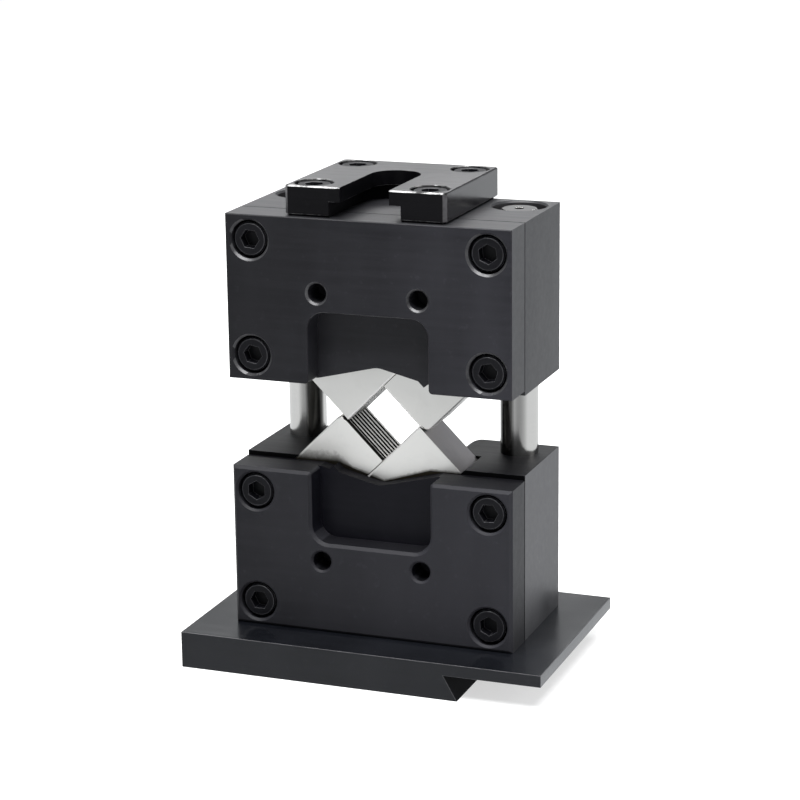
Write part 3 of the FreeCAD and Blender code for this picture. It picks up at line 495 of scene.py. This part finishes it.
def seam_bevel(face):
    """True in the groove where a front plate meets its housing."""
    beside = PARTING_Y - 1.35 * MM < face.calc_center_median().y < PARTING_Y + 0.15 * MM
    return beside and 0.3 < abs(face.normal.y) < 0.95


def dovetail_flank(face):
    return face.normal.x > 0.5 and face.normal.z > 0.05


def leaning_rim(face):
    return 0.3 < face.normal.z < 0.9 and face.normal.y < -0.3


def side_rim(face):
    return 0.3 < face.normal.z < 0.9 and face.normal.y > -0.3


def slot_wall(face):
    """True on the upright walls of the T slot in the ram plate."""
    return abs(face.calc_center_median().x - RAM_MIDDLE.x) < 20.0 * MM and abs(face.normal.z) < 0.5


def upright_corner(face):
    return min(abs(face.normal.x), abs(face.normal.y)) > 0.2 and abs(face.normal.z) < 0.2


# Pieces made from the solids

RAM_SCREW_SPREAD = 27.9 * MM
RAM_THREAD_DEPTH = 20.0 * MM
SLIT_HALF = 1.5 * MM


def whole_rear_face(bm):
    """Draw the hairline slits together that two threads leave in the rear of the upper block."""
    thread_end = PLATE_HIGH.z - RAM_THREAD_DEPTH - MM
    for axis in (RAM_MIDDLE.x - RAM_SCREW_SPREAD, RAM_MIDDLE.x + RAM_SCREW_SPREAD):
        for vert in bm.verts:
            on_rear = abs(vert.co.y - HOUSING_REAR_Y) < CLOSE
            if on_rear and abs(vert.co.x - axis) < SLIT_HALF and vert.co.z > thread_end:
                vert.co.x = axis
    bmesh.ops.remove_doubles(bm, verts=bm.verts, dist=2 * SAME_POINT)


BODY_OF = {node: body for body, nodes in frame["record"]["behaviour"]["bodies"].items() for node in nodes}


def stoned(node, face_finish, edge_finish, width, picks=(), sharp=30.0, mend=None):
    """Copy of a solid with its edges broken, riding on the solid's body.

    picks are a picker of faces, their finish, and whether it reaches over the broken edges too.
    """
    source = frame["nodes"][node]
    bm = bmesh.new()
    bm.from_mesh(source.data)
    bmesh.ops.remove_doubles(bm, verts=bm.verts, dist=SAME_POINT)
    if mend:
        mend(bm)
    bmesh.ops.dissolve_limit(bm, angle_limit=FLAT_TURN, use_dissolve_boundaries=False, verts=bm.verts,
                             edges=bm.edges)
    edge_faces = soften(bm, width)
    for face in bm.faces:
        face.material_index = 0
        face.smooth = True
    for face in edge_faces:
        face.material_index = 1
    bmesh.ops.recalc_face_normals(bm, faces=bm.faces)
    mesh = bpy.data.meshes.new(node + "_stoned")
    mesh.materials.append(face_finish)
    mesh.materials.append(edge_finish)
    for index, (picked, finish, with_edges) in enumerate(picks, 2):
        mesh.materials.append(finish)
        for face in bm.faces:
            if (with_edges or face.material_index != 1) and picked(face):
                face.material_index = index
    bm.to_mesh(mesh)
    bm.free()
    mesh.set_sharp_from_angle(angle=math.radians(sharp))
    piece = bpy.data.objects.new(node + "_stoned", mesh)
    bpy.context.collection.objects.link(piece)
    weigh = piece.modifiers.new("flat_faces_stay_flat", "WEIGHTED_NORMAL")
    weigh.keep_sharp = True
    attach(piece, BODY_OF[node])
    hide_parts(node)


def plain(node, finish):
    """Finish laid on a solid that keeps its own mesh."""
    solid = frame["nodes"][node]
    if not solid.material_slots:
        solid.data.materials.append(finish)
    for place in solid.material_slots:
        place.material = finish


stoned("upper_housing", upper_side, dull_edge, 0.25 * MM,
       mend=whole_rear_face)
stoned("upper_front_plate", upper_front, dull_edge, 0.25 * MM,
       picks=((facing_sideways, upper_side, False), (facing_up, upper_side, False),
              (milled_recess, upper_recess_light, True), (hole_bevel, hole_rim_wear_and_sheen, True),
              (seam_bevel, step_shade_and_seam, True)))
stoned("lower_housing", upper_side, dull_edge, 0.30 * MM,
       picks=((facing_sideways, lower_side, False), (facing_up, lower_top_shade, False),
              (facing_front, step_shade_and_seam, False)))
stoned("lower_front_plate", lower_front, lower_front, 0.45 * MM,
       sharp=62.0, picks=((facing_sideways, lower_plate_side, False), (facing_up, lower_top_shade, False),
                          (milled_recess, recess_shade, True), (arch_edge, arch_shade, True),
                          (seam_bevel, step_shade_and_seam, True)))
stoned("base_plate", base_black, dull_edge, 0.35 * MM,
       picks=((facing_front, base_front, False), (facing_down, base_underside_shade, False),
              (dovetail_flank, base_underside_shade, False)))
# On the ram plate, the walls of the T slot take the darker black of the front as painted shade.
stoned("ram_plate", ram_sheen, ram_edge, 0.20 * MM,
       picks=((facing_front, ram_black_slot_shade, False), (facing_up, ram_top, False), (leaning_rim, ram_edge, True),
              (side_rim, ram_sheen, True), (upright_corner, ram_corner, True), (slot_wall, ram_black_slot_shade, False)))
for node in ("lower_plate_screws", "upper_plate_screws", "ram_plate_screws"):
    stoned(node, screw_black, screw_edge, 0.18 * MM)

# The crimp edge of the lower fixed jaw takes the painted shade of the grooves.
for node, way, steel, rounded in (
    ("lower_fixed_jaw", RISING, lower_jaw_lit_steel, groove_shade),
    ("upper_fixed_jaw", RISING, upper_jaw_shaded_steel, round_bright),
    ("lower_sliding_jaw", FALLING, lower_jaw_lit_steel, round_bright),
    ("upper_sliding_jaw", FALLING, upper_jaw_shaded_steel, round_bright),
):
    picks = [(lambda face, way=way: in_groove(face, way), groove_shade, True),
             (lambda face, way=way: crimp_round(face, way), rounded, True)]
    if node == "lower_sliding_jaw":
        picks.insert(0, (facing_rise, jaw_end_shade, False))
    stoned(node, steel, steel, 0.10 * MM, picks=picks)

for node, steel in (("guide_post_left", post_left), ("guide_post_right", post_right)):
    stoned(node, steel, steel, 0.15 * MM,
           picks=((facing_up, faced_end, False), (centre_hole, groove_shade, True)))
for node in ("lower_key_pin", "upper_key_pin", "lower_dowel_pins", "upper_dowel_pins"):
    plain(node, post_bright)
for node in ("base_screws", "post_screws", "lower_fixed_jaw_screws", "upper_fixed_jaw_screws"):
    plain(node, screw_black)
for node in ("lower_jaw_spring", "upper_jaw_spring"):
    plain(node, spring_wire)
for node in ("guide_bush_left", "guide_bush_right"):
    plain(node, bush_bronze)


# Studio

ROOM_COLOUR = (0.95, 0.975, 1.0)
DIM_SIDE = (0.26, -0.96, 0.0)
TABLE_LIGHT = 1.10
DIM_LIGHT = 0.38
ROOM_LIGHT = 0.45


def pale_floor():
    """Plain pale paper, far larger than the view."""
    bm = bmesh.new()
    bmesh.ops.create_grid(bm, x_segments=1, y_segments=1, size=6.0)
    mesh = bpy.data.meshes.new("studio_floor")
    bm.to_mesh(mesh)
    bm.free()
    floor = bpy.data.objects.new("studio_floor", mesh)
    bpy.context.collection.objects.link(floor)
    f = Finish("pale_paper", (0.45, 0.45, 0.45), 0.0, 0.9)
    f.shader.inputs["Emission Color"].default_value = (1.0, 1.0, 1.0, 1)
    f.shader.inputs["Emission Strength"].default_value = 0.6
    mesh.materials.append(f.material)
    floor.visible_glossy = False
    floor.visible_shadow = False


def soft_light(name, place, aim, size, watts):
    """Soft box: a rectangle of light at a place, turned to what it lights."""
    lamp = bpy.data.lights.new(name, "AREA")
    lamp.shape = "RECTANGLE"
    lamp.size, lamp.size_y = size
    lamp.energy = watts
    light = bpy.data.objects.new(name, lamp)
    bpy.context.collection.objects.link(light)
    light.location = place
    light.rotation_mode = "QUATERNION"
    light.rotation_quaternion = (Vector(aim) - Vector(place)).to_track_quat("-Z", "Y")


def studio_air():
    """Light of the room: a white table to the sides and behind, dimmer above and behind the camera."""
    world = bpy.data.worlds.new("studio_air")
    world.use_nodes = True
    tree = world.node_tree
    add = tree.nodes.new
    back = tree.nodes["Background"]
    back.inputs["Color"].default_value = (*ROOM_COLOUR, 1)
    way = add("ShaderNodeTexCoord").outputs["Generated"]
    facing = add("ShaderNodeVectorMath")
    facing.operation = "DOT_PRODUCT"
    tree.links.new(way, facing.inputs[0])
    facing.inputs[1].default_value = DIM_SIDE
    table = add("ShaderNodeMapRange")
    tree.links.new(facing.outputs["Value"], table.inputs["Value"])
    for name, value in zip(("From Min", "From Max", "To Min", "To Max"), (0.58, 1.0, TABLE_LIGHT, DIM_LIGHT)):
        table.inputs[name].default_value = value
    parts = add("ShaderNodeSeparateXYZ")
    tree.links.new(way, parts.inputs[0])
    above = add("ShaderNodeMapRange")
    above.interpolation_type = "SMOOTHSTEP"
    tree.links.new(parts.outputs["Z"], above.inputs["Value"])
    for name, value in zip(("From Min", "From Max", "To Min", "To Max"), (-0.12, 0.22, 0.0, 1.0)):
        above.inputs[name].default_value = value
    room = add("ShaderNodeMix")
    tree.links.new(above.outputs["Result"], room.inputs[0])
    tree.links.new(table.outputs["Result"], room.inputs[2])
    room.inputs[3].default_value = ROOM_LIGHT
    seen = add("ShaderNodeMix")
    tree.links.new(add("ShaderNodeLightPath").outputs["Is Camera Ray"], seen.inputs[0])
    tree.links.new(room.outputs[0], seen.inputs[2])
    seen.inputs[3].default_value = 1.05
    tree.links.new(seen.outputs[0], back.inputs["Strength"])
    bpy.context.scene.world = world


def photo_camera():
    """Camera at the photograph's place and angle, from a fit to the corners of the blocks."""
    data = bpy.data.cameras.new("photo_camera")
    data.sensor_fit = "HORIZONTAL"
    data.sensor_width = 36.0
    data.lens = 115.1
    data.shift_y = -0.0022
    data.clip_start, data.clip_end = 0.05, 20.0
    camera = bpy.data.objects.new("photo_camera", data)
    bpy.context.collection.objects.link(camera)
    right = Vector((0.93547758, 0.35319122, -0.01173255))
    down = Vector((0.08014675, -0.24438141, -0.96636133))
    ahead = Vector((-0.34417756, 0.90306904, -0.25692046))
    turn = Matrix((right, -down, -ahead)).transposed()
    camera.rotation_mode = "QUATERNION"
    camera.rotation_quaternion = turn.to_quaternion()
    camera.location = (0.41138358, -1.07486949, 0.42982075)
    bpy.context.scene.camera = camera


pale_floor()
studio_air()
soft_light("soft_box_behind", (-0.50, 1.50, 1.75), (0.0, 0.0, 0.15), (1.50, 0.90), 34.0)
soft_light("soft_box_above", (0.10, -0.80, 2.50), (0.0, 0.0, 0.10), (2.60, 1.60), 180.0)
soft_light("soft_box_right", (1.60, 0.30, 0.70), (0.0, 0.0, 0.12), (1.00, 1.00), 8.0)
photo_camera()

scene = bpy.context.scene
scene.view_settings.view_transform = "Standard"
scene.view_settings.exposure = 0.0
